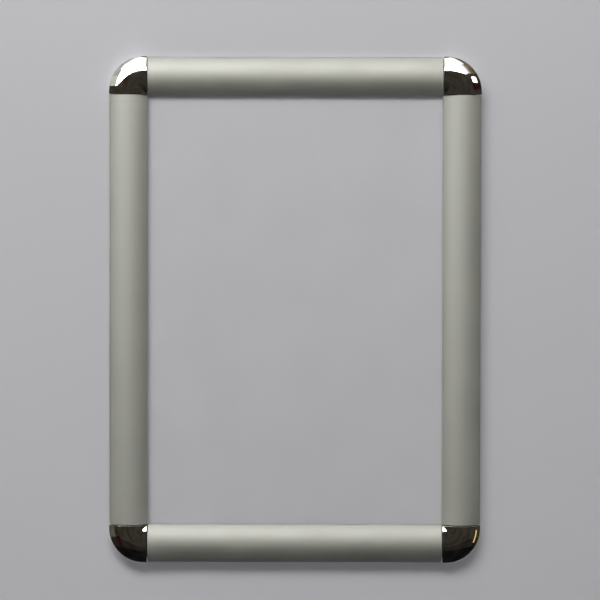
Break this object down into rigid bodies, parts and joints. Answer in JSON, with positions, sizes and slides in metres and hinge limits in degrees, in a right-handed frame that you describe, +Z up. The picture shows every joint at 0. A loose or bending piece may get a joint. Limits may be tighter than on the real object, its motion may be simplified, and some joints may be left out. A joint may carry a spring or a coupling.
{
  "type": "snap poster frame",
  "caption": "Upright wall poster frame with a blank sheet, four rails whose covers snap open on sprung hinges, and round plated corners.",
  "frame": {"origin": "on the wall plane, behind the middle of the frame", "axes": "+Z up along the long side, +X to the right as seen from the front, -Y out of the wall towards the viewer"},
  "size_m": [0.24, 0.0129, 0.327],
  "materials": {
    "rail_aluminium": "satin anodised, extruded",
    "lid_aluminium": "satin anodised, extruded",
    "plated_plastic": "bright chrome plate on moulded plastic",
    "spring_steel": "rolled spring strip",
    "key_steel": "zinc plated, pressed",
    "panel_board": "matt white sheet",
    "poster_paper": "plain pale grey paper",
    "cover_film": "clear anti-glare sheet"
  },
  "bodies": {
    "root": {"backing_panel": "panel_board", "poster_sheet": "poster_paper", "cover_sheet": "cover_film", "base_rail_top": "rail_aluminium", "base_rail_right": "rail_aluminium", "base_rail_bottom": "rail_aluminium", "base_rail_left": "rail_aluminium", "corner_cap_top_right": "plated_plastic", "corner_cap_bottom_right": "plated_plastic", "corner_cap_bottom_left": "plated_plastic", "corner_cap_top_left": "plated_plastic", "corner_key_top_right": "key_steel", "corner_key_bottom_right": "key_steel", "corner_key_bottom_left": "key_steel", "corner_key_top_left": "key_steel", "bow_spring_top_1": "spring_steel", "bow_spring_top_2": "spring_steel", "bow_spring_right_1": "spring_steel", "bow_spring_right_2": "spring_steel", "bow_spring_bottom_1": "spring_steel", "bow_spring_bottom_2": "spring_steel", "bow_spring_left_1": "spring_steel", "bow_spring_left_2": "spring_steel"},
    "lid_top": {"snap_lid_top": "lid_aluminium"},
    "lid_right": {"snap_lid_right": "lid_aluminium"},
    "lid_bottom": {"snap_lid_bottom": "lid_aluminium"},
    "lid_left": {"snap_lid_left": "lid_aluminium"}
  },
  "joints": [
    {"name": "lid_top_hinge", "type": "hinge", "parent": "root", "child": "lid_top", "pos_m": [0, -0.006, 0.1609], "axis": [-1, 0, 0], "range_deg": [0, 95], "deforming": ["bow_spring_top_1", "bow_spring_top_2"]},
    {"name": "lid_right_hinge", "type": "hinge", "parent": "root", "child": "lid_right", "pos_m": [0.1174, -0.006, 0], "axis": [0, 0, 1], "range_deg": [0, 95], "deforming": ["bow_spring_right_1", "bow_spring_right_2"]},
    {"name": "lid_bottom_hinge", "type": "hinge", "parent": "root", "child": "lid_bottom", "pos_m": [0, -0.006, -0.1609], "axis": [1, 0, 0], "range_deg": [0, 95], "deforming": ["bow_spring_bottom_1", "bow_spring_bottom_2"]},
    {"name": "lid_left_hinge", "type": "hinge", "parent": "root", "child": "lid_left", "pos_m": [-0.1174, -0.006, 0], "axis": [0, 0, -1], "range_deg": [0, 95], "deforming": ["bow_spring_left_1", "bow_spring_left_2"]}
  ]
}
